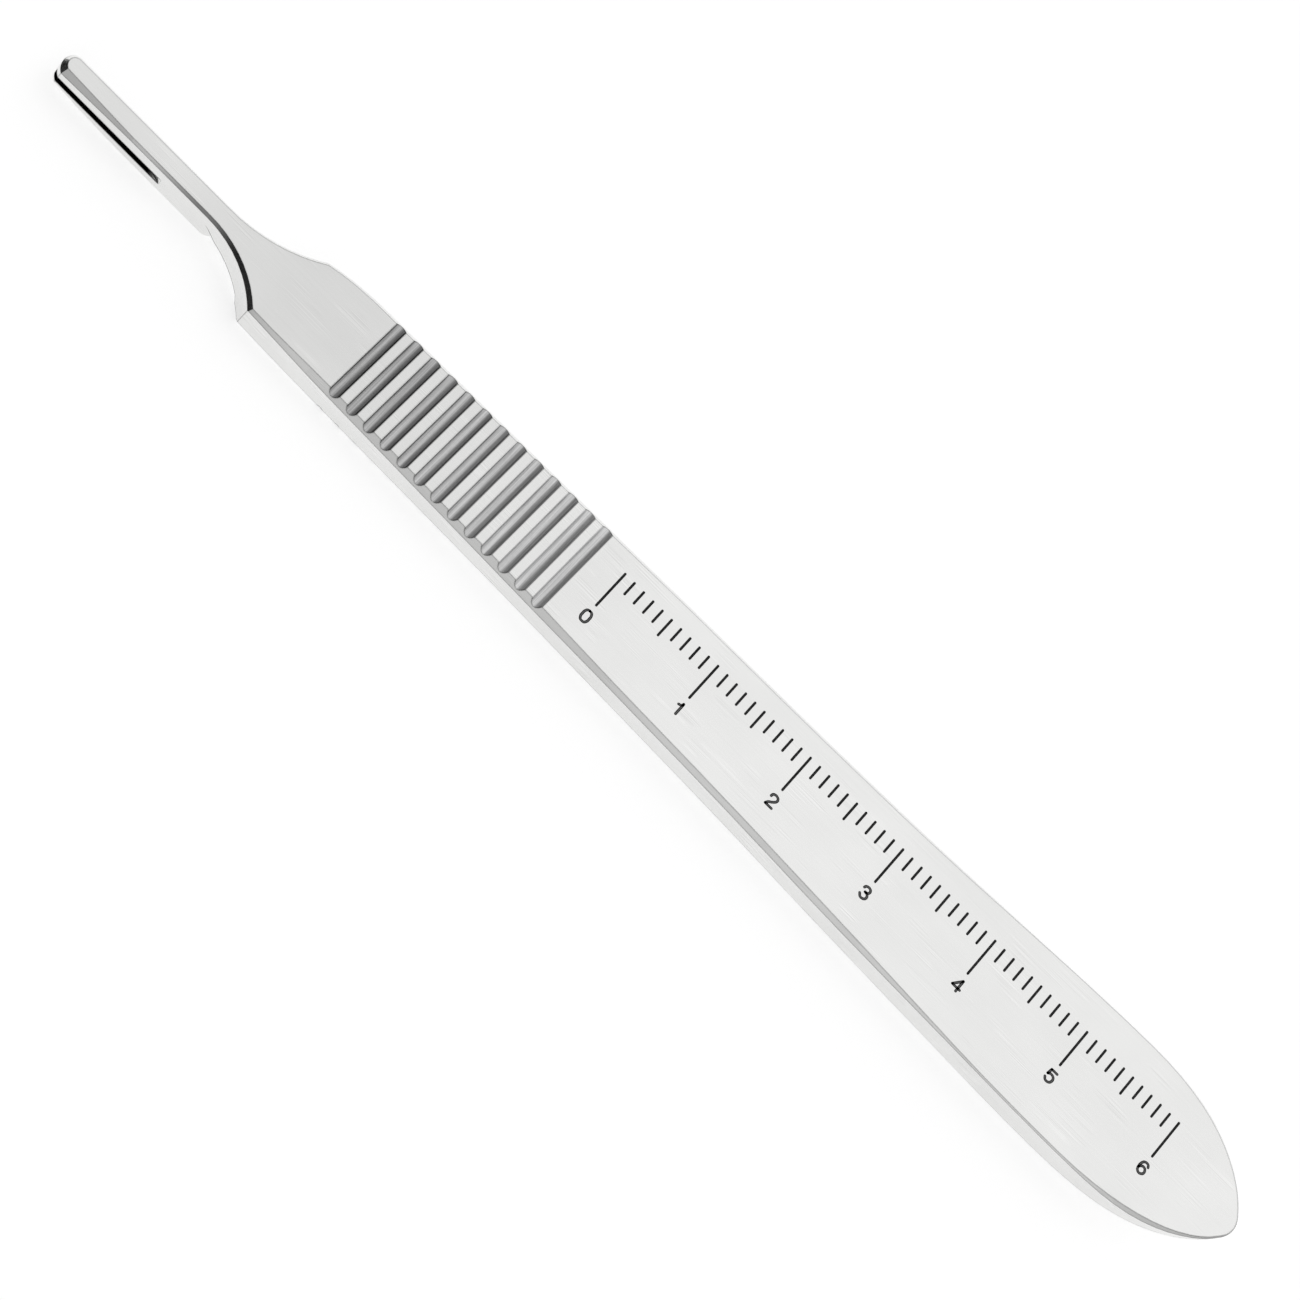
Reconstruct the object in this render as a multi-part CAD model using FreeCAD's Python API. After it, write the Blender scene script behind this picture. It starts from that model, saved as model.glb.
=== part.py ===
import FreeCAD, Part
import math
import os

# Graduated scalpel handle of the small blade fitting, one piece of stainless steel.
# Millimetres.  +X runs from the blade end to the butt, +Z is up through the ruler face.
# The handle lies on its reverse face at z = 0, with the origin under the middle of its length.
# Places along the handle are measured from the tip.
V = FreeCAD.Vector

# Driving sizes: the whole handle
length = 126.3                  # of the outline, before the bevels
thickness = 2.7

# Nose: the narrow tang that carries the blade, and the neck that flares out behind it
tang_half = 1.03                # half the width of the tang
tip_near_radius = 1.33          # rounding of the tip on the -Y side, which ends in a slight corner
tip_far_radius = 0.94           # rounding of the tip on the +Y side, which runs out smoothly
near_flare_start = 16.15        # where the neck starts to widen on the -Y side
near_flare_radius = 9.4
far_flare_start = 16.75         # the same on the +Y side, where the neck is milled further back
far_flare_radius = 13.5
apex_bevel = 0.36               # 45 degree bevel round the ruler face: at the apex of the tip
near_tip_bevel = 0.48           # beside the tip on the -Y side
far_tip_bevel = 0.24            # beside the tip on the +Y side
tang_bevel = 0.22               # along the tang
neck_bevel = 0.36               # along the neck
tang_bevel_start = 8.0          # where the bevel has narrowed to that of the tang

# Boss on the reverse side, its two blade slots and the catch behind it
boss_length = 17.4
boss_edge_round = 0.25          # rounding of the edge of the boss
crown_start = 8.7               # where the top of the boss starts to fall away towards the tip
crown_radius = 75.0
slot_wall = 0.87                # lip of the boss that holds the blade down
slot_height = 0.62
slot_depth = 0.50               # into each side of the tang
slot_length = 9.85              # from the tip, at full depth
slot_cutter = 3.5               # radius of the disc that cuts the slots, seen at their run-out
recess_depth = 0.88             # of the neck's reverse side under the face of the body, at the boss
recess_end_depth = 0.38         # the same at the foot of the shoulder
catch_run = 1.2                 # length of the ramp behind the boss
catch_gap = 0.55                # from the round end of the boss to the top of that ramp
catch_slant = math.radians(15.5)
shoulder_at = 23.68             # where the shoulder ends on the centre line
shoulder_run = 0.60             # the shoulder is a steep ramp of this length
shoulder_slant = math.radians(26.5)

# Body: shoulders, the plain taper with the grip, the belly and the rounded butt.  The -Y side
# is a little fuller at the waist and the +Y side at the belly.
near_shoulder_end = 29.65       # where the shoulders have met the taper
far_shoulder_end = 31.0
near_shoulder_radius = 300.0
far_shoulder_radius = 24.6
near_shoulder_half = 4.48       # half widths there
far_shoulder_half = 4.65
shoulder_reach = 8.0            # how far the shoulder curves run forwards, beyond the corners
flare_turn = math.radians(62)   # how far the neck curves run outwards, beyond the corners
taper_from_butt = 54.3
near_taper_half = 5.35
far_taper_half = 5.23
waist_from_butt = 41.3
near_waist_half = 5.78
far_waist_half = 5.54
hip_from_butt = 28.3
near_hip_half = 6.15
far_hip_half = 6.02
belly_from_butt = 14.5          # the widest place
near_belly_half = 6.32
far_belly_half = 6.66
heel_from_butt = 6.8            # where the belly turns in to the butt
near_heel_half = 5.42
far_heel_half = 5.92
butt_flank_from_butt = 1.9      # on the nearly straight flanks beside the very end
near_butt_flank_half = 2.86
far_butt_flank_half = 3.0
butt_round = 1.4                # radius of the very end
butt_ramp = 16.8                # length over which the reverse face rises to thin the butt
butt_ramp_radius = 63.0
shoulder_bevel = 0.28           # 45 degree bevel of the ruler face: at the corners
grip_bevel = 0.50               # along the grip
ruler_bevel = 0.39              # along the ruler
belly_bevel = 0.11              # at the belly
heel_bevel = 0.28               # where the belly turns in to the butt
end_bevel = 0.10                # at the very end
reverse_shoulder_bevel = 0.20   # 45 degree bevel of the reverse face: at the corners
reverse_bevel = 0.60            # from the grip to the butt
reverse_end_bevel = 0.42        # at the very end

# Grip: round-bottomed grooves milled across both faces.  The belt that finishes the handle runs
# on towards the butt and rounds the lips of the later grooves more.
groove_count = 13
groove_pitch = 1.835
groove_depth = 0.33
groove_width = 1.0
first_groove = 32.35            # middle of the first groove
groove_slant = math.radians(0.8)
first_lip_round = 0.04
last_lip_round = 0.20

# Derived
x_tip = -length / 2
x_butt = length / 2
far_out = 4 * far_belly_half    # well outside the handle
above = 3 * thickness
roof = 2 * reverse_bevel        # height of the solids that shape the bevels
groove_radius = (groove_width ** 2 / 4 + groove_depth ** 2) / (2 * groove_depth)
last_groove = first_groove + (groove_count - 1) * groove_pitch
taper_end = length - taper_from_butt
waist_at = length - waist_from_butt
hip_at = length - hip_from_butt
belly_at = length - belly_from_butt
heel_at = length - heel_from_butt
ramp_start = length - butt_ramp
ramp_turn = math.asin(butt_ramp / butt_ramp_radius)
ramp_slope = math.tan(ramp_turn / 2)    # of the plane that touches the ramp half way up
ramp_foot = ramp_start + butt_ramp_radius * math.tan(ramp_turn / 4)
near_side = (near_shoulder_end, near_shoulder_half, near_shoulder_radius, near_taper_half,
             near_waist_half, near_hip_half, near_belly_half, near_heel_half,
             near_butt_flank_half)
far_side = (far_shoulder_end, far_shoulder_half, far_shoulder_radius, far_taper_half,
            far_waist_half, far_hip_half, far_belly_half, far_heel_half,
            far_butt_flank_half)


def at(from_tip, y=0.0, z=0.0):
    return V(x_tip + from_tip, y, z)


def line(a, b):
    return Part.makeLine(a, b)


def arc(a, b, c):
    return Part.Arc(a, b, c).toShape()


def prism(points, direction):
    return Part.Face(Part.makePolygon(points + points[:1])).extrude(direction)


def blend(x, x0, v0, x1, v1):
    t = min(1.0, max(0.0, (x - x0) / (x1 - x0)))
    return v0 + (v1 - v0) * (1 - math.cos(math.pi * t)) / 2


# One side of the nose, from the apex of the tip to the flare.  Each inset moves its part of
# the outline inwards, or outwards where it is negative.
def nose_side(z, insets, sign, flare_start, flare_radius, tip_radius):
    apex_in, tip_in, tang_in, neck_in = insets
    apex_y = tang_half - tip_far_radius
    start_y = tang_half - tip_in
    across = start_y - sign * apex_y
    turn = math.asin(min(1.0, across / (tip_radius - tip_in)))
    round_tip = []
    for step, inset in ((0.0, apex_in), (0.5, (apex_in + tip_in) / 2), (1.0, tip_in)):
        reach = tip_radius - inset
        round_tip.append(at(tip_radius - reach * math.cos(step * turn),
                            apex_y + sign * reach * math.sin(step * turn), z))
    tang_on = at(tang_bevel_start, sign * (tang_half - tang_in), z)
    flare_on = at(flare_start, sign * (tang_half - tang_in), z)
    flare = []
    for step, inset in ((0.5, (tang_in + neck_in) / 2), (1.0, neck_in)):
        angle = step * flare_turn
        reach = flare_radius + inset
        flare.append(at(flare_start + reach * math.sin(angle),
                        sign * (tang_half + flare_radius - reach * math.cos(angle)), z))
    wide = V(flare[1].x, sign * far_out, z)
    back = V(x_butt + far_out, sign * far_out, z)
    return [arc(*round_tip), line(round_tip[2], tang_on), line(tang_on, flare_on),
            arc(flare_on, flare[0], flare[1]), line(flare[1], wide), line(wide, back)]


# Outline of the nose at height z, drop under the ruler face, or the plain one without a drop.
def nose_wire(z, drop=None):
    sides = []
    for sign, start, radius, tip, tip_bevel in (
            (-1, near_flare_start, near_flare_radius, tip_near_radius, near_tip_bevel),
            (1, far_flare_start, far_flare_radius, tip_far_radius, far_tip_bevel)):
        insets = (0, 0, 0, 0)
        if drop is not None:
            insets = [b - drop for b in (apex_bevel, tip_bevel, tang_bevel, neck_bevel)]
        sides += nose_side(z, insets, sign, start, radius, tip)
    close = line(V(x_butt + far_out, -far_out, z), V(x_butt + far_out, far_out, z))
    return Part.Wire(Part.__sortEdges__(sides + [close]))


# Widths of the bevels of the body, for a place along the handle.
def ruler_face_bevel(x):
    if x < first_groove:
        return blend(x, shoulder_at, shoulder_bevel, first_groove, grip_bevel)
    if x < waist_at:
        return blend(x, last_groove, grip_bevel, last_groove + 10, ruler_bevel)
    if x < belly_at:
        return blend(x, waist_at, ruler_bevel, (hip_at + belly_at) / 2, belly_bevel)
    if x < heel_at:
        return blend(x, belly_at, belly_bevel, heel_at, heel_bevel)
    return blend(x, heel_at, heel_bevel, length, end_bevel)


def reverse_face_bevel(x):
    if x < belly_at:
        return blend(x, shoulder_at, reverse_shoulder_bevel, last_groove, reverse_bevel)
    return blend(x, belly_at, reverse_bevel, length, reverse_end_bevel)


# The same over the ramp of the butt, measured at the plane that touches the ramp half way up.
def ramp_bevel(x):
    climb = max(0.0, x - ramp_start)
    height = butt_ramp_radius - math.sqrt(butt_ramp_radius ** 2 - climb ** 2)
    return reverse_face_bevel(x) + min(reverse_bevel, height - ramp_slope * (x - ramp_foot))


# Points and outward normals along the three stretches of a side: shoulder, taper and flank.
# The flank is tangent to the taper and square to the axis at the very end.
def stretches(side):
    shoulder_end, shoulder_half, shoulder_radius, taper_half = side[:4]
    waist, hip, belly, heel, butt_flank = side[4:]
    taper_angle = math.atan2(taper_half - shoulder_half, taper_end - shoulder_end)
    normal = V(-math.sin(taper_angle), math.cos(taper_angle), 0)
    joint = V(shoulder_end, shoulder_half, 0)
    end = V(taper_end, taper_half, 0)
    shoulder = []
    for i in range(9):
        turn = (1 - i / 8) * math.asin(shoulder_reach / shoulder_radius)
        n = V(-math.sin(taper_angle + turn), math.cos(taper_angle + turn), 0)
        shoulder.append((joint + (n - normal) * shoulder_radius, n))
    taper = [(joint + (end - joint) * (i / 24), normal) for i in range(25)]
    curve = Part.BSplineCurve()
    points = [end, V(waist_at, waist, 0), V(hip_at, hip, 0), V(belly_at, belly, 0),
              V(heel_at, heel, 0),
              V(length - butt_flank_from_butt, butt_flank, 0),
              V(length - butt_round / 8, butt_round / 2, 0),
              V(length, 0, 0)]
    curve.interpolate(Points=points, InitialTangent=end - joint, FinalTangent=V(0, -1, 0))
    butt = []
    for i in range(41):
        u = curve.FirstParameter + (curve.LastParameter - curve.FirstParameter) * i / 40
        t = curve.tangent(u)[0]
        butt.append((curve.value(u), V(-t.y, t.x, 0)))
    return [shoulder, taper, butt]


# Outline of the body at height z.  With a bevel, it is moved inwards by the width of the bevel
# less the depth under the bevelled face.  A sloping outline climbs with the ramp of the butt.
def body_wire(z, bevel=None, depth=0.0, slope=0.0):
    def lay(x, y):
        return at(x, y, z + slope * (x - ramp_foot))

    edges = []
    fronts = []
    for sign, side in ((-1, near_side), (1, far_side)):
        for part in stretches(side):
            points = []
            for p, n in part:
                q = p - n * (bevel(p.x) - depth) if bevel else p
                points.append(lay(q.x, sign * q.y))
            ends = [V(n.y, -sign * n.x, slope * n.y) for n in (part[0][1], part[-1][1])]
            curve = Part.BSplineCurve()
            curve.interpolate(Points=points, InitialTangent=ends[0], FinalTangent=ends[1])
            edges.append(curve.toShape())
        first = edges[-3].Vertexes[0].Point
        fronts.append(lay(-far_out, first.y))
        edges.append(line(fronts[-1], first))
    edges.append(line(fronts[0], fronts[1]))
    return Part.Wire(Part.__sortEdges__(edges))


# A face is bevelled by keeping only what lies inside a hipped roof over it.  The slab between
# the heights z0 and z1 is the part of the plate that the roof shapes.
def bevelled(plate, wires, z0, z1, slope=0.0):
    inside = Part.makeLoft(wires, True, True)
    points = []
    for z, ends in ((z0, (-far_out, length + far_out)), (z1, (length + far_out, -far_out))):
        for x in ends:
            points.append(at(x, -2 * far_out, z + slope * (x - ramp_foot)))
    slab = prism(points, V(0, 4 * far_out, 0))
    return plate.cut(slab.cut(inside))


# Nose
nose = Part.Face(nose_wire(0)).extrude(V(0, 0, thickness))
wires = [nose_wire(thickness - roof, roof), nose_wire(thickness, 0)]
nose = bevelled(nose, wires, thickness - roof, thickness)

# The boss falls away towards the tip, so that the blade rides on easily.
start = at(crown_start)
turn = math.asin((crown_start + 1) / crown_radius)
arc_points = [start]
for angle in (turn / 2, turn):
    arc_points.append(start + V(-crown_radius * math.sin(angle), 0,
                                crown_radius * (1 - math.cos(angle))))
low_front = V(arc_points[2].x, 0, -above)
low_start = V(start.x, 0, -above)
edges = [arc(*arc_points), line(arc_points[2], low_front), line(low_front, low_start),
         line(low_start, start)]
crown = Part.Face(Part.Wire(edges)).extrude(V(0, 2 * far_out, 0))
crown.translate(V(0, -far_out, 0))
nose = nose.cut(crown)

# Body, with the reverse face ramped up to thin the butt
body = Part.Face(body_wire(0)).extrude(V(0, 0, thickness))
arc_points = [at(ramp_start)]
for angle in (ramp_turn, 2 * ramp_turn):
    arc_points.append(at(ramp_start + butt_ramp_radius * math.sin(angle), 0,
                         butt_ramp_radius * (1 - math.cos(angle))))
low_end = V(arc_points[2].x, 0, -above)
low_start = at(ramp_start, 0, -above)
edges = [arc(*arc_points), line(arc_points[2], low_end), line(low_end, low_start),
         line(low_start, arc_points[0])]
ramp = Part.Face(Part.Wire(edges)).extrude(V(0, 2 * far_out, 0))
ramp.translate(V(0, -far_out, 0))
body = body.cut(ramp)
for slope, width in ((0.0, reverse_face_bevel), (ramp_slope, ramp_bevel)):
    wires = [body_wire(0, width, 0, slope), body_wire(roof, width, roof, slope)]
    body = bevelled(body, wires, 0, roof, slope)
wires = [body_wire(thickness - roof, ruler_face_bevel, roof),
         body_wire(thickness, ruler_face_bevel, 0)]
body = bevelled(body, wires, thickness - roof, thickness)

# Grip grooves, across both faces
across = V(math.sin(groove_slant), math.cos(groove_slant), 0)
along = V(across.y, -across.x, 0)


# Cutter for a groove in the face at height z, up being 1 for the ruler face and -1 for the other.
def groove(middle, z, up, lip):
    foot = middle - across * far_out + V(0, 0, z)

    def lay(u, w):
        return foot + along * u + V(0, 0, up * w)

    centre = groove_radius - groove_depth
    reach = groove_radius + lip
    lip_at = math.sqrt(reach ** 2 - (lip + centre) ** 2)
    lean = math.atan2(lip_at, lip + centre)
    touch = (lip_at - lip * math.sin(lean), lip * (math.cos(lean) - 1))
    crest = (lip_at - lip * math.sin(lean / 2), lip * (math.cos(lean / 2) - 1))
    edges = [arc(lay(-touch[0], touch[1]), lay(0, -groove_depth), lay(*touch))]
    for side in (-1, 1):
        edges.append(arc(lay(side * touch[0], touch[1]), lay(side * crest[0], crest[1]),
                         lay(side * lip_at, 0)))
        edges.append(line(lay(side * lip_at, 0), lay(side * lip_at, above)))
    edges.append(line(lay(-lip_at, above), lay(lip_at, above)))
    wire = Part.Wire(Part.__sortEdges__(edges))
    return Part.Face(wire).extrude(across * (2 * far_out))


for i in range(groove_count):
    middle = at(first_groove + i * groove_pitch)
    lip = first_lip_round + (last_lip_round - first_lip_round) * i / (groove_count - 1)
    body = body.cut(groove(middle, thickness, 1, lip)).cut(groove(middle, 0, -1, lip))

handle = nose.common(body)

# Recess for the blade behind the boss, ending in the slanted shoulder, and the catch ramp
rear = at(boss_length - tang_half)
boss = Part.makeBox(rear.x - x_tip + far_out, 2 * tang_half, 2 * above,
                    V(x_tip - far_out, -tang_half, -above))
boss = boss.fuse(Part.makeCylinder(tang_half, 2 * above, V(rear.x, 0, -above)))
front = near_flare_start
slant = V(math.tan(shoulder_slant), 1, 0) * (2 * far_out)
shoulder_foot = shoulder_at - shoulder_run
catch_top = boss_length + catch_gap
floor_slope = (recess_end_depth - recess_depth) / (shoulder_foot - catch_top)
profile = [at(front, 0, -above), at(front, 0, recess_depth + floor_slope * (front - catch_top)),
           at(shoulder_foot, 0, recess_end_depth), at(shoulder_at), at(shoulder_at, 0, -above)]
recess = prism([p - slant / 2 for p in profile], slant)
ahead = Part.makeBox(2 * far_out, 4 * far_out, 3 * above,
                     V(at(front).x - 2 * far_out, -2 * far_out, -1.5 * above))
valley = slot_wall + slot_height
catch_end = catch_top + catch_run * recess_depth / (valley - recess_depth)
slant = V(math.tan(catch_slant), 1, 0) * (2 * far_out)
profile = [at(catch_end, 0, -above), at(catch_end), at(catch_top - catch_run, 0, valley),
           at(front - 2, 0, valley), at(front - 2, 0, -above)]
catch = prism([p - slant / 2 for p in profile], slant)
handle = handle.cut(recess.fuse(catch).cut(ahead).cut(boss))


def boss_edge(edge):
    p = edge.valueAt((edge.FirstParameter + edge.LastParameter) / 2)
    floor = max(0.0, crown_start - (p.x - x_tip)) ** 2 / (2 * crown_radius)
    outer = abs(p.y) > 0.3 * tang_half or p.x > rear.x
    return outer and abs(p.z - floor) < 0.02 and p.x < at(catch_top).x and edge.Length > 0.1


handle = handle.makeFillet(boss_edge_round, [e for e in handle.Edges if boss_edge(e)])

# Blade slots along both sides of the tang
for side in (-1, 1):
    y = side * (tang_half - slot_depth)
    slot = Part.makeBox(slot_length + far_out, far_out, slot_height,
                        V(x_tip - far_out, min(y, y + side * far_out), slot_wall))
    disc = Part.makeCylinder(slot_cutter, slot_height,
                             at(slot_length, y + side * slot_cutter, slot_wall))
    handle = handle.cut(slot.fuse(disc))

handle = handle.removeSplitter()
solids = handle.Solids
handle = max(solids, key=lambda s: s.Volume)
box = handle.BoundBox
print("solids", len(solids), "valid", handle.isValid(), "volume", round(handle.Volume, 1))
print("box", [round(v, 3) for v in (box.XMin, box.XMax, box.YMin, box.YMax, box.ZMin, box.ZMax)])

os.makedirs("parts", exist_ok=True)
handle.exportStep("parts/handle.step")
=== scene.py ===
import bmesh
import bpy
import math
from mathutils import Euler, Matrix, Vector


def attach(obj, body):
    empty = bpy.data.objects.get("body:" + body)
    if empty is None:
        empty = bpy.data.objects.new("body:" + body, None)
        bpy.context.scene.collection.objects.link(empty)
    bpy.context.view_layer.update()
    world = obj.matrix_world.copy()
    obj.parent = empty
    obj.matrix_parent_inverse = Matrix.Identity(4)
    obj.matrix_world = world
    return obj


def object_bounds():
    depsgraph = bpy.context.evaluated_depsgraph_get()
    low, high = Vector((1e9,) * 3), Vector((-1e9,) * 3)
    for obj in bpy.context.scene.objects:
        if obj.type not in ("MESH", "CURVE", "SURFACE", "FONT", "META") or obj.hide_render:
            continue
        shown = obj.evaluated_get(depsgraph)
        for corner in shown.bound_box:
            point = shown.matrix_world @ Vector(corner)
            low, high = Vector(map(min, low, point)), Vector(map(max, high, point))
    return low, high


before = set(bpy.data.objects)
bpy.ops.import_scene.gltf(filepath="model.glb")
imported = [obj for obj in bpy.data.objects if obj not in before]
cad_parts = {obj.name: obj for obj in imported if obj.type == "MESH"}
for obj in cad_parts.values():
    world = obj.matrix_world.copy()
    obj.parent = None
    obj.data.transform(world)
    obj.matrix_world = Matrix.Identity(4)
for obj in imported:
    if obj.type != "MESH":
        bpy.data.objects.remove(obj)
cad_low, cad_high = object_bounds()
mm = 0.001

# HANDLE
# The whole instrument is one piece of stainless steel, forged, milled and ground lengthwise, as such
# handles usually are.  The solid comes ready from the frame; here it gets its satin finish.
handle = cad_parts["handle"]
tip = cad_low.x
top = cad_high.z


def linear(code):
    parts = [int(code[i:i + 2], 16) / 255 for i in (1, 3, 5)]
    return [p / 12.92 if p <= 0.04045 else ((p + 0.055) / 1.055) ** 2.4 for p in parts] + [1.0]


def add(material, kind, sockets=None, **settings):
    node = material.node_tree.nodes.new(kind)
    for name, value in settings.items():
        setattr(node, name, value)
    for name, value in (sockets or {}).items():
        if isinstance(value, bpy.types.NodeSocket):
            material.node_tree.links.new(value, node.inputs[name])
        else:
            node.inputs[name].default_value = value
    return node


# Satin stainless steel: a cool pale grey mirror, blurred by belt lines that run along the handle.
# The lines of a 240 grit belt are about 0.03 mm apart; they are drawn 0.12 mm apart so that they show.
# The grooves are left duller, as the cutter made them, and their faces and walls carry painted shade;
# the slots are painted near black as shade, and every edge has a fine painted dark line of shade.
steel = bpy.data.materials.new("satin_stainless_steel")
steel.use_nodes = True
steel.node_tree.nodes.clear()
place = add(steel, "ShaderNodeTexCoord")
where = add(steel, "ShaderNodeSeparateXYZ", {"Vector": place.outputs["Object"]})
shape = add(steel, "ShaderNodeNewGeometry")
facing = add(steel, "ShaderNodeSeparateXYZ", {"Vector": shape.outputs["True Normal"]})


def within(value, low, high, soft):
    """1 where the value lies between low and high, falling to 0 over the soft distance."""
    rise = add(steel, "ShaderNodeMapRange", {
        "Value": value, "From Min": low - soft, "From Max": low, "To Min": 0.0, "To Max": 1.0})
    fall = add(steel, "ShaderNodeMapRange", {
        "Value": value, "From Min": high, "From Max": high + soft, "To Min": 1.0, "To Max": 0.0})
    return times(rise.outputs["Result"], fall.outputs["Result"])


def times(a, b):
    return add(steel, "ShaderNodeMath", {0: a, 1: b}, operation="MULTIPLY").outputs["Value"]


def grain(pitch, detail=2.0, roughness=0.5):
    """Noise with the given sizes in metres along X, Y and Z."""
    stretched = add(steel, "ShaderNodeMapping", {
        "Vector": place.outputs["Object"], "Scale": [1 / size for size in pitch]})
    return add(steel, "ShaderNodeTexNoise", {
        "Vector": stretched.outputs["Vector"], "Scale": 1.0, "Detail": detail,
        "Roughness": roughness}).outputs["Fac"]


sideways = add(steel, "ShaderNodeMath", {0: facing.outputs["Y"]}, operation="ABSOLUTE")
off_axis = add(steel, "ShaderNodeMath", {0: where.outputs["Y"]}, operation="ABSOLUTE")
grip_start = tip + 31.6 * mm
grip_end = tip + 55.1 * mm
slot_end = tip + 10.3 * mm
slot_low = 0.865 * mm
slot_high = 1.495 * mm
milled = times(times(within(where.outputs["X"], grip_start, grip_end, 0.02 * mm),
                     within(where.outputs["Z"], 0.014 * mm, top - 0.014 * mm, 0.006 * mm)),
               within(sideways.outputs["Value"], -1.0, 0.4, 0.1))
# Painted shade: the floor and walls of the blade slots are painted near black, as the shade inside them.
upright = add(steel, "ShaderNodeMath", {0: facing.outputs["Z"]}, operation="ABSOLUTE")
level = within(upright.outputs["Value"], 0.6, 2.0, 0.1)
deep = within(off_axis.outputs["Value"], 0.515 * mm, 0.56 * mm, 0.02 * mm)
slot_floor = times(level, within(off_axis.outputs["Value"], 0.5 * mm, 1.02 * mm, 0.01 * mm))
slot_wall = add(steel, "ShaderNodeMath", {0: deep, 1: slot_floor}, operation="MAXIMUM")
slot_shade = times(times(within(where.outputs["X"], tip - mm, slot_end, 1.0 * mm),
                      within(where.outputs["Z"], slot_low, slot_high, 0.004 * mm)),
                slot_wall.outputs["Value"])

lines = grain((9 * mm, 0.12 * mm, 0.12 * mm), detail=4.0, roughness=0.6)
clouds = grain((7 * mm, 5 * mm, 5 * mm))
patches = add(steel, "ShaderNodeMapRange", {
    "Value": grain((3.5 * mm, 1.2 * mm, 1.2 * mm), detail=1.0), "From Min": 0.52, "From Max": 0.66})
streaks = add(steel, "ShaderNodeMapRange", {
    "Value": grain((14 * mm, 0.09 * mm, 0.09 * mm)), "From Min": 0.35, "From Max": 0.65,
    "To Min": -1.0, "To Max": 1.0})
worn = times(patches.outputs["Result"], streaks.outputs["Result"])
tone = add(steel, "ShaderNodeMapRange", {
    "Value": clouds, "From Min": 0.3, "From Max": 0.7, "To Min": 0.97, "To Max": 1.01})
tone = add(steel, "ShaderNodeMath", {0: worn, 1: 0.07, 2: tone.outputs["Result"]},
           operation="MULTIPLY_ADD")
ground_and_sheen = add(steel, "ShaderNodeMix", {
    "Factor": 1.0, "A": linear("#EAEAE9"), "B": tone.outputs["Value"]},
    data_type="RGBA", blend_type="MULTIPLY")

# The ruler face is painted with a sheen: toned down a little towards the neck and lighter near the tip,
# and the bevel of the neck is painted darker, in place of reflections that the tent doesn't give.
flat = within(facing.outputs["Z"], 0.85, 2.0, 0.1)
sheen = add(steel, "ShaderNodeMapRange", {
    "Value": where.outputs["X"], "From Min": tip + 30 * mm, "From Max": tip + 60 * mm,
    "To Min": 0.895, "To Max": 1.02})
nose_sheen = add(steel, "ShaderNodeMapRange", {
    "Value": where.outputs["X"], "From Min": tip + 12 * mm, "From Max": tip + 24 * mm,
    "To Min": 1.10, "To Max": 1.0})
sheen = times(sheen.outputs["Result"], nose_sheen.outputs["Result"])
neck_bevel = times(times(within(where.outputs["X"], tip + 15 * mm, tip + 19 * mm, 5 * mm),
                         within(facing.outputs["Z"], 0.6, 0.8, 0.05)),
                   within(facing.outputs["Y"], -0.8, -0.1, 0.1))
neck_tone = 0.40
for mask, painted_tone in ((flat, sheen), (neck_bevel, [neck_tone] * 3 + [1.0])):
    ground_and_sheen = add(steel, "ShaderNodeMix", {
        "Factor": mask, "A": ground_and_sheen.outputs["Result"], "B": painted_tone},
        data_type="RGBA", blend_type="MULTIPLY")

cutter_lines = grain((0.09 * mm, 6 * mm, 0.09 * mm))
# Painted shade: the groove faces are painted darker towards the first grooves, in place of reflections.
# The cutter lines give them their own uneven tone.
groove_shade_ramp = add(steel, "ShaderNodeMapRange", {
    "Value": where.outputs["X"], "From Min": grip_start, "From Max": grip_end})
cut_face = add(steel, "ShaderNodeMix", {
    "Factor": groove_shade_ramp.outputs["Result"], "A": linear("#C4C4C4"), "B": linear("#ECECEC")},
    data_type="RGBA")
cut_tone = add(steel, "ShaderNodeMapRange", {
    "Value": cutter_lines, "From Min": 0.3, "From Max": 0.7, "To Min": 0.80, "To Max": 1.14})
cut_face = add(steel, "ShaderNodeMix", {
    "Factor": 1.0, "A": cut_face.outputs["Result"], "B": cut_tone.outputs["Result"]},
    data_type="RGBA", blend_type="MULTIPLY")
# Painted shade on the groove walls: the side of each groove that looks towards the tip is darker, and the
# steep side that looks away from it has a dark line, most of all in the first grooves. These tones too
# stand in for reflections.
side_seen = facing.outputs["X"]
painted_half_shade = add(steel, "ShaderNodeMapRange", {
    "Value": side_seen, "From Min": -0.30, "From Max": -0.05, "To Min": 0.74, "To Max": 1.0})
cut_face = add(steel, "ShaderNodeMix", {
    "Factor": 1.0, "A": cut_face.outputs["Result"], "B": painted_half_shade.outputs["Result"]},
    data_type="RGBA", blend_type="MULTIPLY")
wall_shade_fade = add(steel, "ShaderNodeMapRange", {
    "Value": where.outputs["X"], "From Min": grip_start, "From Max": grip_end, "To Min": 1.0,
    "To Max": 0.25})
tipward_wall_shade = add(steel, "ShaderNodeMapRange", {
    "Value": side_seen, "From Min": -0.78, "From Max": -0.66, "To Min": 0.95, "To Max": 0.0})
rearward_wall_shade = add(steel, "ShaderNodeMapRange", {
    "Value": side_seen, "From Min": 0.70, "From Max": 0.82, "To Min": 0.0, "To Max": 0.75})
painted_wall_shade = add(steel, "ShaderNodeMath", {
    0: tipward_wall_shade.outputs["Result"], 1: rearward_wall_shade.outputs["Result"]}, operation="ADD")
cut_face = add(steel, "ShaderNodeMix", {
    "Factor": times(painted_wall_shade.outputs["Value"], wall_shade_fade.outputs["Result"]),
    "A": cut_face.outputs["Result"], "B": linear("#101010")}, data_type="RGBA")
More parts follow.
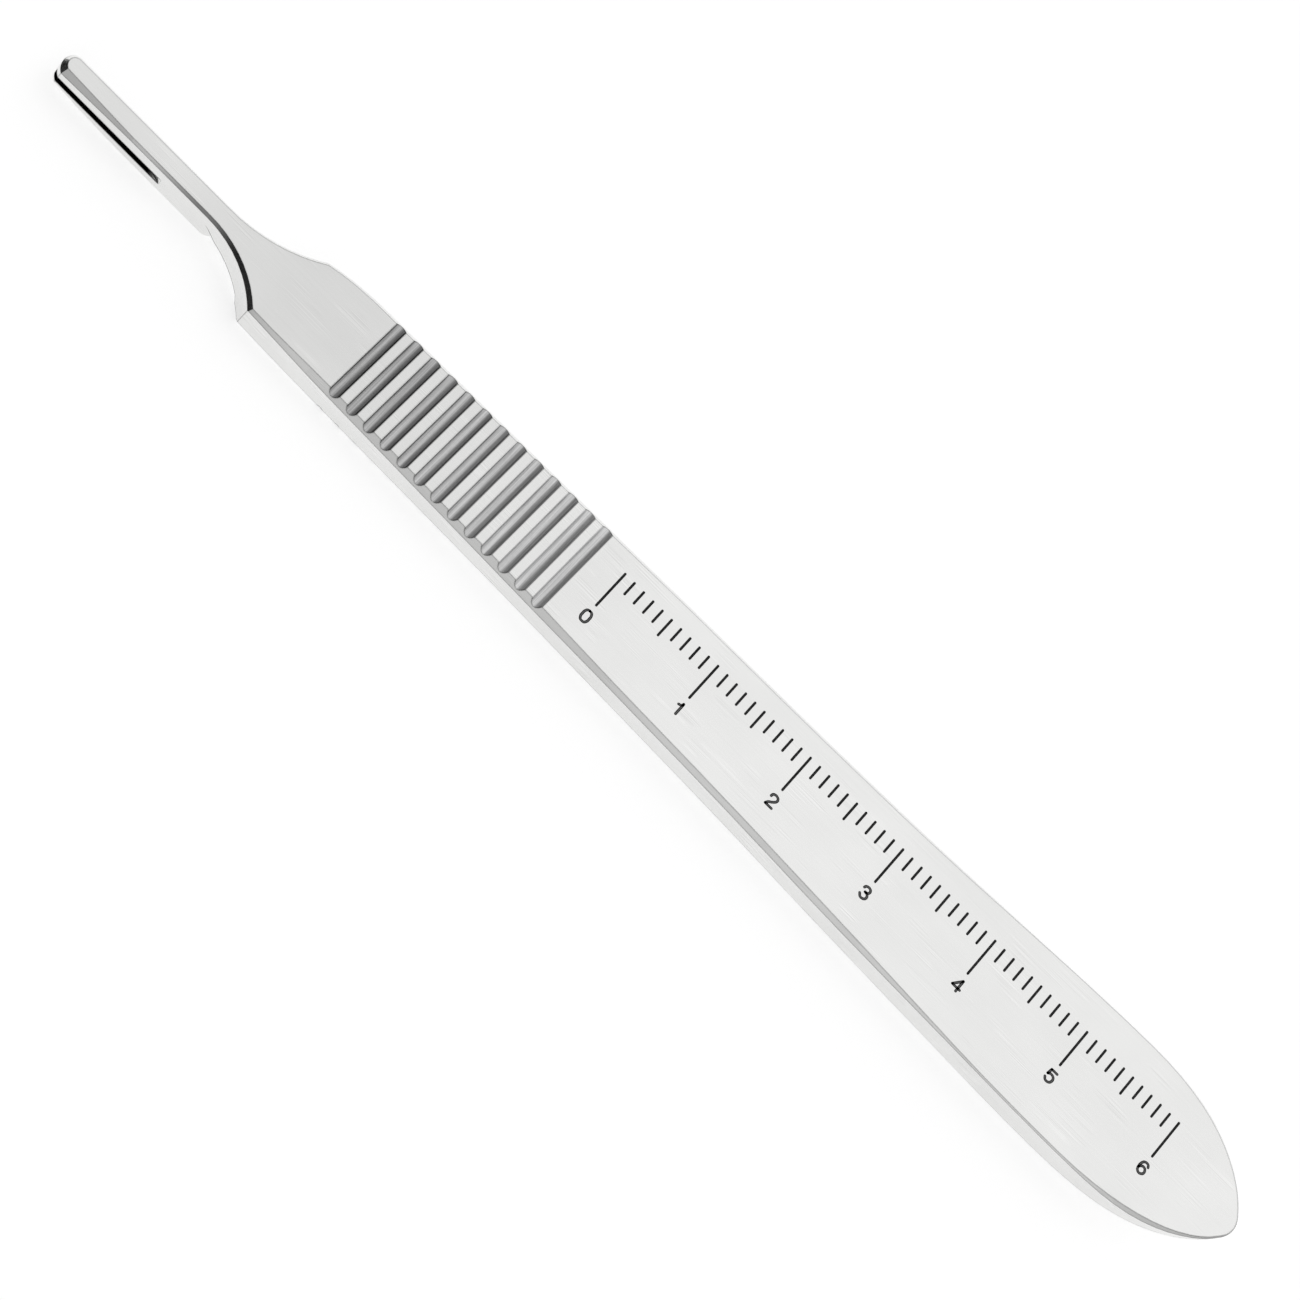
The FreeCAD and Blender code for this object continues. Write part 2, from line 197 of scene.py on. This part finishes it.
tint = add(steel, "ShaderNodeMix", {
    "Factor": milled, "A": ground_and_sheen.outputs["Result"], "B": cut_face.outputs["Result"]},
    data_type="RGBA")
# Painted shade inside the slots.
tint = add(steel, "ShaderNodeMix", {
    "Factor": slot_shade, "A": tint.outputs["Result"], "B": linear("#0C0C0C")}, data_type="RGBA")

# Painted shade: a fine dark line is painted along every edge, in place of reflections in the edges.
near_edge = add(steel, "ShaderNodeBevel", {"Radius": 0.20 * mm}, samples=8)
alike = add(steel, "ShaderNodeVectorMath", {
    0: near_edge.outputs["Normal"], 1: shape.outputs["Normal"]}, operation="DOT_PRODUCT")
painted_edge_shade = add(steel, "ShaderNodeMapRange", {
    "Value": alike.outputs["Value"], "From Min": 0.945, "From Max": 0.995, "To Min": 0.33, "To Max": 1.0})
tint = add(steel, "ShaderNodeMix", {
    "Factor": 1.0, "A": tint.outputs["Result"], "B": painted_edge_shade.outputs["Result"]},
    data_type="RGBA", blend_type="MULTIPLY")

blur = add(steel, "ShaderNodeMapRange", {
    "Value": lines, "From Min": 0.3, "From Max": 0.7, "To Min": 0.16, "To Max": 0.24})
blur = add(steel, "ShaderNodeMath", {0: milled, 1: 0.34, 2: blur.outputs["Result"]},
           operation="MULTIPLY_ADD")
rounded = add(steel, "ShaderNodeBevel", {"Radius": 0.04 * mm}, samples=6)
relief = add(steel, "ShaderNodeBump", {
    "Height": lines, "Distance": 0.002 * mm, "Strength": 1.0, "Normal": rounded.outputs["Normal"]})
face = add(steel, "ShaderNodeBsdfPrincipled", {
    "Base Color": tint.outputs["Result"], "Metallic": 1.0,
    "Roughness": blur.outputs["Value"], "Normal": relief.outputs["Normal"]})
add(steel, "ShaderNodeOutputMaterial", {"Surface": face.outputs["BSDF"]})
handle.data.materials.clear()
handle.data.materials.append(steel)

# GRADUATION
# A millimetre rule of 61 lines on the ruler face, most likely burned in by a marking laser, which
# leaves a thin black oxide level with the steel.  The row lies at a slight angle to the handle.
zero = Vector((-5.46 * mm, 2.93 * mm))
slant = 0.0075
line_width = 0.215 * mm
skin = 0.003 * mm


def ribbon(mesh, path, width, caps=5):
    """A flat strip of the given width along a path, with round ends, just proud of the face."""
    path = [Vector(p) for p in path]
    rows = []
    for i, p in enumerate(path):
        ahead = (path[min(i + 1, len(path) - 1)] - path[max(i - 1, 0)]).normalized()
        rows.append((p, ahead, width / 2))
    first, last = rows[0], rows[-1]
    ends = []
    for i in range(1, caps + 1):
        angle = i / caps * math.pi / 2 * 0.98
        ends.append((math.sin(angle) * width / 2, math.cos(angle) * width / 2))
    rows = ([(first[0] - first[1] * s, first[1], w) for s, w in reversed(ends)] + rows
            + [(last[0] + last[1] * s, last[1], w) for s, w in ends])
    uv = mesh.loops.layers.uv.verify()
    strip = []
    for p, ahead, w in rows:
        side = Vector((-ahead.y, ahead.x))
        strip.append([mesh.verts.new((*(p + side * w * k), top + skin)) for k in (-1, 0, 1)])
    for i in range(len(strip) - 1):
        for k in (0, 1):
            quad = mesh.faces.new((strip[i][k], strip[i + 1][k], strip[i + 1][k + 1], strip[i][k + 1]))
            for loop, (u, v) in zip(quad.loops, ((i, k), (i + 1, k), (i + 1, k + 1), (i, k + 1))):
                loop[uv].uv = (u / 40, v / 2)


def marked(name, mesh, material):
    data = bpy.data.meshes.new(name)
    mesh.normal_update()
    mesh.to_mesh(data)
    mesh.free()
    piece = bpy.data.objects.new(name, data)
    bpy.context.scene.collection.objects.link(piece)
    data.materials.append(material)
    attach(piece, "root")
    return piece


def on_rule(along, across):
    return zero + Vector((along + slant * across, slant * along - across)) * mm


# Laser-annealed steel: a matt black skin of oxide, a little greyer where the beam went over it twice.
oxide = bpy.data.materials.new("black_laser_oxide")
oxide.use_nodes = True
oxide.node_tree.nodes.clear()
place = add(oxide, "ShaderNodeTexCoord")
passes = add(oxide, "ShaderNodeTexNoise", {
    "Vector": place.outputs["Object"], "Scale": 1 / (1.5 * mm), "Detail": 1.0})
shade = add(oxide, "ShaderNodeMix", {
    "Factor": passes.outputs["Fac"], "A": linear("#101010"), "B": linear("#2C2C2C")},
    data_type="RGBA")
face = add(oxide, "ShaderNodeBsdfPrincipled", {
    "Base Color": shade.outputs["Result"], "Metallic": 0.0, "Roughness": 0.6,
    "Specular IOR Level": 0.2})
add(oxide, "ShaderNodeOutputMaterial", {"Surface": face.outputs["BSDF"]})

mesh = bmesh.new()
for i in range(61):
    reach = 4.0 if i % 10 == 0 else 2.0 if i % 5 == 0 else 1.5
    ribbon(mesh, [on_rule(i, 0.08), on_rule(i, reach - 0.08)], line_width)
marked("graduation", mesh, oxide)

# NUMBERS
# The numbers 0 to 6 stand under the centimetre lines.  The laser draws round each stroke, so the
# middle of a stroke is greyer than its edges.
stroke_width = 0.235 * mm
digits = {
    0: [[(0, .56), (-.20, .51), (-.33, .27), (-.345, 0), (-.33, -.27), (-.20, -.51), (0, -.56),
         (.20, -.51), (.33, -.27), (.345, 0), (.33, .27), (.20, .51), (0, .56)]],
    1: [[(.05, .55), (.05, -.57)], [(.05, .55), (-.03, .34), (-.27, .24)]],
    2: [[(-.33, .25), (-.29, .44), (-.14, .55), (.04, .56), (.22, .48), (.31, .30), (.25, .10),
         (.05, -.12), (-.18, -.30), (-.33, -.56)], [(-.33, -.56), (.33, -.56)]],
    3: [[(-.34, .31), (-.25, .49), (-.04, .56), (.17, .50), (.26, .31), (.18, .11), (-.06, .05)],
        [(-.06, .05), (.20, -.02), (.31, -.22), (.26, -.44), (.06, -.56), (-.16, -.54), (-.34, -.33)]],
    4: [[(.17, -.57), (.17, .55)], [(.17, .55), (-.40, -.27)], [(-.40, -.27), (.37, -.27)]],
    5: [[(.31, .54), (-.25, .54)], [(-.25, .54), (-.33, .04)],
        [(-.33, .04), (-.16, .16), (.06, .17), (.26, .04), (.32, -.20), (.23, -.45), (.02, -.56),
         (-.20, -.52), (-.35, -.32)]],
    6: [[(.32, .33), (.22, .50), (.02, .56), (-.20, .46), (-.32, .20), (-.34, -.10), (-.28, -.38),
         (-.12, -.54), (.08, -.55), (.27, -.41), (.31, -.18), (.20, .04), (0, .11), (-.20, .02),
         (-.33, -.18)]],
}


def smooth(points, steps=8):
    """A smooth line through a few points; two points give a straight one."""
    if len(points) == 2:
        return points
    p = [Vector(q) for q in points]
    closed = (p[0] - p[-1]).length < 1e-9
    before = p[-2] if closed else 2 * p[0] - p[1]
    after = p[1] if closed else 2 * p[-1] - p[-2]
    p = [before] + p + [after]
    made = []
    for i in range(1, len(p) - 2):
        for j in range(steps):
            t = j / steps
            made.append(0.5 * (2 * p[i] + (p[i + 1] - p[i - 1]) * t
                               + (2 * p[i - 1] - 5 * p[i] + 4 * p[i + 1] - p[i + 2]) * t ** 2
                               + (3 * p[i] - p[i - 1] - 3 * p[i + 1] + p[i + 2]) * t ** 3))
    return made + [p[-2]]


# The same oxide, drawn as an outline: the beam leaves a paler band along the middle of a stroke.
outlined = bpy.data.materials.new("black_laser_oxide_outline")
outlined.use_nodes = True
outlined.node_tree.nodes.clear()
place = add(outlined, "ShaderNodeTexCoord")
across = add(outlined, "ShaderNodeSeparateXYZ", {"Vector": place.outputs["UV"]})
off_middle = add(outlined, "ShaderNodeMath", {0: across.outputs["Y"], 1: 0.5}, operation="SUBTRACT")
off_middle = add(outlined, "ShaderNodeMath", {0: off_middle.outputs["Value"]}, operation="ABSOLUTE")
rim = add(outlined, "ShaderNodeMapRange", {
    "Value": off_middle.outputs["Value"], "From Min": 0.12, "From Max": 0.24})
shade = add(outlined, "ShaderNodeMix", {
    "Factor": rim.outputs["Result"], "A": linear("#6E6E6E"), "B": linear("#1C1C1C")},
    data_type="RGBA")
face = add(outlined, "ShaderNodeBsdfPrincipled", {
    "Base Color": shade.outputs["Result"], "Metallic": 0.0, "Roughness": 0.6,
    "Specular IOR Level": 0.2})
add(outlined, "ShaderNodeOutputMaterial", {"Surface": face.outputs["BSDF"]})

mesh = bmesh.new()
for digit, strokes in digits.items():
    for points in strokes:
        ribbon(mesh, [on_rule(10 * digit - 0.02 + x, 5.24 - y) for x, y in smooth(points)],
               stroke_width)
marked("numbers", mesh, outlined)

# FLOOR
# A plain white floor under the handle.  It just reaches white in the open, so that the soft shadow
# of the handle stays on it.
paper = bpy.data.materials.new("white_paper")
paper.use_nodes = True
paper.node_tree.nodes.clear()
sight = add(paper, "ShaderNodeLightPath")
seen = add(paper, "ShaderNodeMath", {0: sight.outputs["Is Camera Ray"], 1: sight.outputs["Is Glossy Ray"]},
           operation="MAXIMUM")
matt = add(paper, "ShaderNodeBsdfDiffuse", {"Color": linear("#C8C8C8")})
glow = add(paper, "ShaderNodeEmission", {"Color": (1, 1, 1, 1), "Strength": 0.675})
both = add(paper, "ShaderNodeAddShader", {0: matt.outputs["BSDF"], 1: glow.outputs["Emission"]})
plain = add(paper, "ShaderNodeBsdfDiffuse", {"Color": linear("#F2F2F2")})
mixed = add(paper, "ShaderNodeMixShader", {
    "Fac": seen.outputs["Value"], 1: plain.outputs["BSDF"], 2: both.outputs["Shader"]})
add(paper, "ShaderNodeOutputMaterial", {"Surface": mixed.outputs["Shader"]})
mesh = bmesh.new()
bmesh.ops.create_grid(mesh, x_segments=1, y_segments=1, size=3.0)
data = bpy.data.meshes.new("floor")
mesh.to_mesh(data)
mesh.free()
floor = bpy.data.objects.new("floor", data)
bpy.context.scene.collection.objects.link(floor)
data.materials.append(paper)

# STUDIO
# A soft white tent all round, with dark cards at the front left, the right and the back left, and a
# dimmer front.  They draw the bevels and the walls of the grooves.
world = bpy.data.worlds.new("tent")
bpy.context.scene.world = world
world.use_nodes = True
world.node_tree.nodes.clear()
sight = add(world, "ShaderNodeLightPath")
way = add(world, "ShaderNodeTexCoord")


def card(middle, edge, core, left, fall="SMOOTHSTEP"):
    """Share of the light left in each direction by a dark card around the middle direction."""
    towards = add(world, "ShaderNodeVectorMath", {
        0: way.outputs["Generated"], 1: Vector(middle).normalized()}, operation="DOT_PRODUCT")
    return add(world, "ShaderNodeMapRange", {
        "Value": towards.outputs["Value"], "From Min": edge, "From Max": core, "To Min": 1.0,
        "To Max": left}, interpolation_type=fall).outputs["Result"]


tent = card((-0.90, -0.35, 0.30), 0.36, 0.80, 0.03, "LINEAR")
for shade in (card((0.05, -0.93, 0.37), 0.60, 0.90, 0.80),
              card((0.95, -0.20, 0.25), 0.45, 1.00, 0.5, "LINEAR"),
              card((-0.80, 0.52, 0.25), 0.42, 0.95, 0.35)):
    tent = add(world, "ShaderNodeMath", {0: tent, 1: shade}, operation="MULTIPLY").outputs["Value"]
light = add(world, "ShaderNodeBackground", {"Color": (1, 1, 1, 1), "Strength": tent})
white = add(world, "ShaderNodeBackground", {"Color": (1, 1, 1, 1), "Strength": 1.0})
shown = add(world, "ShaderNodeMixShader", {
    "Fac": sight.outputs["Is Camera Ray"], 1: light.outputs["Background"], 2: white.outputs["Background"]})
add(world, "ShaderNodeOutputWorld", {"Surface": shown.outputs["Shader"]})

# CAMERA
# A long lens, held a little above half a metre away over the near side of the handle.
lens = bpy.data.cameras.new("camera")
lens.sensor_width = 36
lens.lens = 187.64
lens.clip_start = 0.01
camera = bpy.data.objects.new("camera", lens)
bpy.context.scene.collection.objects.link(camera)
camera.location = Vector((-29.447, -271.544, 440.381)) * mm
camera.rotation_euler = Euler([math.radians(a) for a in (21.6783, -24.0328, 39.5193)])
bpy.context.scene.camera = camera
bpy.context.scene.view_settings.view_transform = "Standard"
